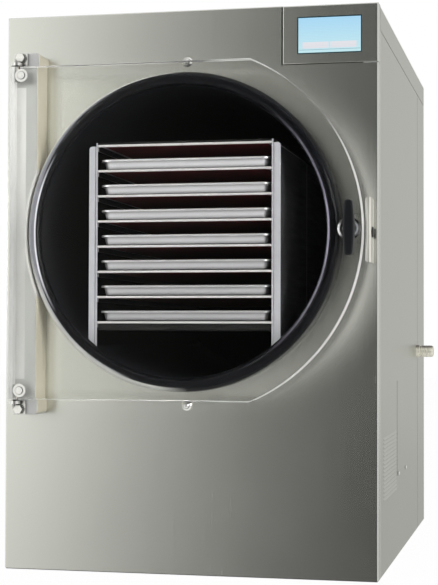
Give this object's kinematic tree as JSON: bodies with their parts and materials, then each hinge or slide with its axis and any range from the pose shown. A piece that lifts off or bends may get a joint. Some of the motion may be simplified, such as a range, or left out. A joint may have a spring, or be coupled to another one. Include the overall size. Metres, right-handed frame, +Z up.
{
  "type": "freeze dryer",
  "caption": "Cabinet freeze dryer: brushed steel case, round vacuum chamber with a clear hinged door, heated tray rack, touch screen, and a cooling unit in the base.",
  "frame": {"origin": "centre of the cabinet's footprint, on the floor", "axes": "+Z up; the door faces -Y; +X is on the right of someone facing the door"},
  "size_m": [0.841, 1.161, 1.118],
  "materials": {
    "front_steel": "brushed",
    "screen_steel": "dark brushed",
    "cover_steel": "brushed",
    "frame_paint": "powder coated",
    "drum_coating": "satin black",
    "gasket_rubber": "moulded",
    "copper_tube": "drawn copper",
    "foam": "closed-cell foam",
    "rack_steel": "satin",
    "tray_steel": "bright drawn",
    "heater_silicone": "moulded",
    "compressor_paint": "gloss black",
    "mount_rubber": "moulded",
    "coil_aluminium": "stamped fins",
    "shroud_steel": "zinc plated",
    "motor_paint": "satin",
    "blade_aluminium": "pressed",
    "socket_plastic": "moulded",
    "rocker_plastic": "moulded",
    "display": "glass face",
    "door_acrylic": "polished clear acrylic",
    "post_aluminium": "satin anodised",
    "strip_aluminium": "bright anodised",
    "bush_aluminium": "turned",
    "hardware_steel": "stainless",
    "handle_plastic": "moulded",
    "hub_metal": "satin grey",
    "port_steel": "turned stainless",
    "valve_brass": "turned",
    "lever_paint": "dipped"
  },
  "bodies": {
    "cabinet": {"front_panel": "front_steel", "screen_panel": "screen_steel", "top_cover": "cover_steel", "right_side_cover": "cover_steel", "left_side_cover": "cover_steel", "rear_cover": "cover_steel", "base_pan": "frame_paint", "cabinet_frame": "frame_paint", "chamber_drum": "drum_coating", "door_gasket": "gasket_rubber", "evaporator_coil": "copper_tube", "refrigerant_lines": "copper_tube", "insulation_jacket": "foam", "rack_foam": "foam", "rack_side_right": "rack_steel", "rack_side_left": "rack_steel", "shelf_1": "rack_steel", "shelf_2": "rack_steel", "shelf_3": "rack_steel", "shelf_4": "rack_steel", "shelf_5": "rack_steel", "shelf_6": "rack_steel", "shelf_7": "rack_steel", "shelf_8": "rack_steel", "tray_1": "tray_steel", "tray_2": "tray_steel", "tray_3": "tray_steel", "tray_4": "tray_steel", "tray_5": "tray_steel", "tray_6": "tray_steel", "tray_7": "tray_steel", "heater_mats": "heater_silicone", "compressor": "compressor_paint", "compressor_mounts": "mount_rubber", "condenser_coil": "coil_aluminium", "fan_shroud": "shroud_steel", "control_box": "shroud_steel", "fan_motor": "motor_paint", "power_entry": "socket_plastic", "pump_socket": "socket_plastic", "touch_screen": "display", "hinge_post": "post_aluminium", "hinge_strip": "strip_aluminium", "hinge_brackets": "hardware_steel", "front_bolts": "hardware_steel", "cover_screws": "hardware_steel", "keeper": "hardware_steel", "vacuum_port": "port_steel", "vacuum_pipe": "port_steel", "drain_valve": "valve_brass"},
    "door": {"door_plate": "door_acrylic", "hinge_bushes": "bush_aluminium", "door_screws": "hardware_steel", "latch_hub": "hub_metal"},
    "latch": {"latch_handle": "handle_plastic", "latch_spindle": "hardware_steel", "latch_cam": "hardware_steel"},
    "fan": {"fan_blades": "blade_aluminium"},
    "rocker": {"power_rocker": "rocker_plastic"},
    "drain_handle": {"drain_lever": "lever_paint"}
  },
  "joints": [
    {"name": "door_swing", "type": "hinge", "parent": "cabinet", "child": "door", "pos_m": [-0.3333, -0.588, 0.6735], "axis": [0, 0, -1], "range_deg": [0, 150]},
    {"name": "latch_turn", "type": "hinge", "parent": "door", "child": "latch", "pos_m": [0.335, -0.61, 0.6735], "axis": [0, 1, 0], "range_deg": [0, 90]},
    {"name": "fan_spin", "type": "hinge", "parent": "cabinet", "child": "fan", "pos_m": [0.279, -0.19, 0.14], "axis": [1, 0, 0], "continuous": true},
    {"name": "rocker_tilt", "type": "hinge", "parent": "cabinet", "child": "rocker", "pos_m": [-0.222, 0.516, 0.205], "axis": [-1, 0, 0], "range_deg": [0, 14]},
    {"name": "drain_turn", "type": "hinge", "parent": "cabinet", "child": "drain_handle", "pos_m": [-0.392, 0.3, 0.351], "axis": [0, 0, 1], "range_deg": [0, 90]}
  ]
}
